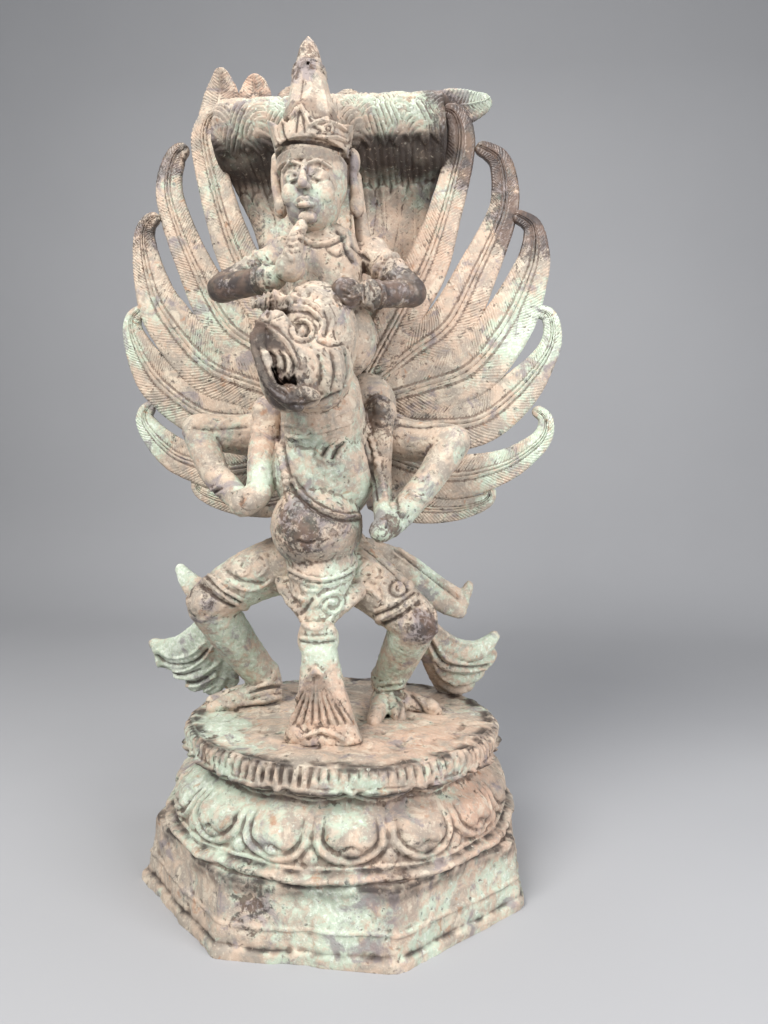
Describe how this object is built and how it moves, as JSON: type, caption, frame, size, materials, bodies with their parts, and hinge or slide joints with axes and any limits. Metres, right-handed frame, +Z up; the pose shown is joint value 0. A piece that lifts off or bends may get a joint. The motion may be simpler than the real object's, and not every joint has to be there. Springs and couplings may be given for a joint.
{
  "type": "bronze vishnu riding garuda statue",
  "caption": "Cast bronze figure of Vishnu riding the winged Garuda, feather canopy overhead, on a round lotus base with an eight-sided foot.",
  "frame": {"origin": "middle of the eight-sided foot's flat underside", "axes": "+Z up through the base to the crown, -Y out of the figure's front, +X to the viewer's right"},
  "size_m": [0.1312, 0.096, 0.2367],
  "materials": {
    "patinated_bronze": "matt, dusty pink and pale green patina over dark bronze"
  },
  "bodies": {
    "root": {"vishnu_on_garuda_statue": "patinated_bronze"}
  },
  "joints": []
}
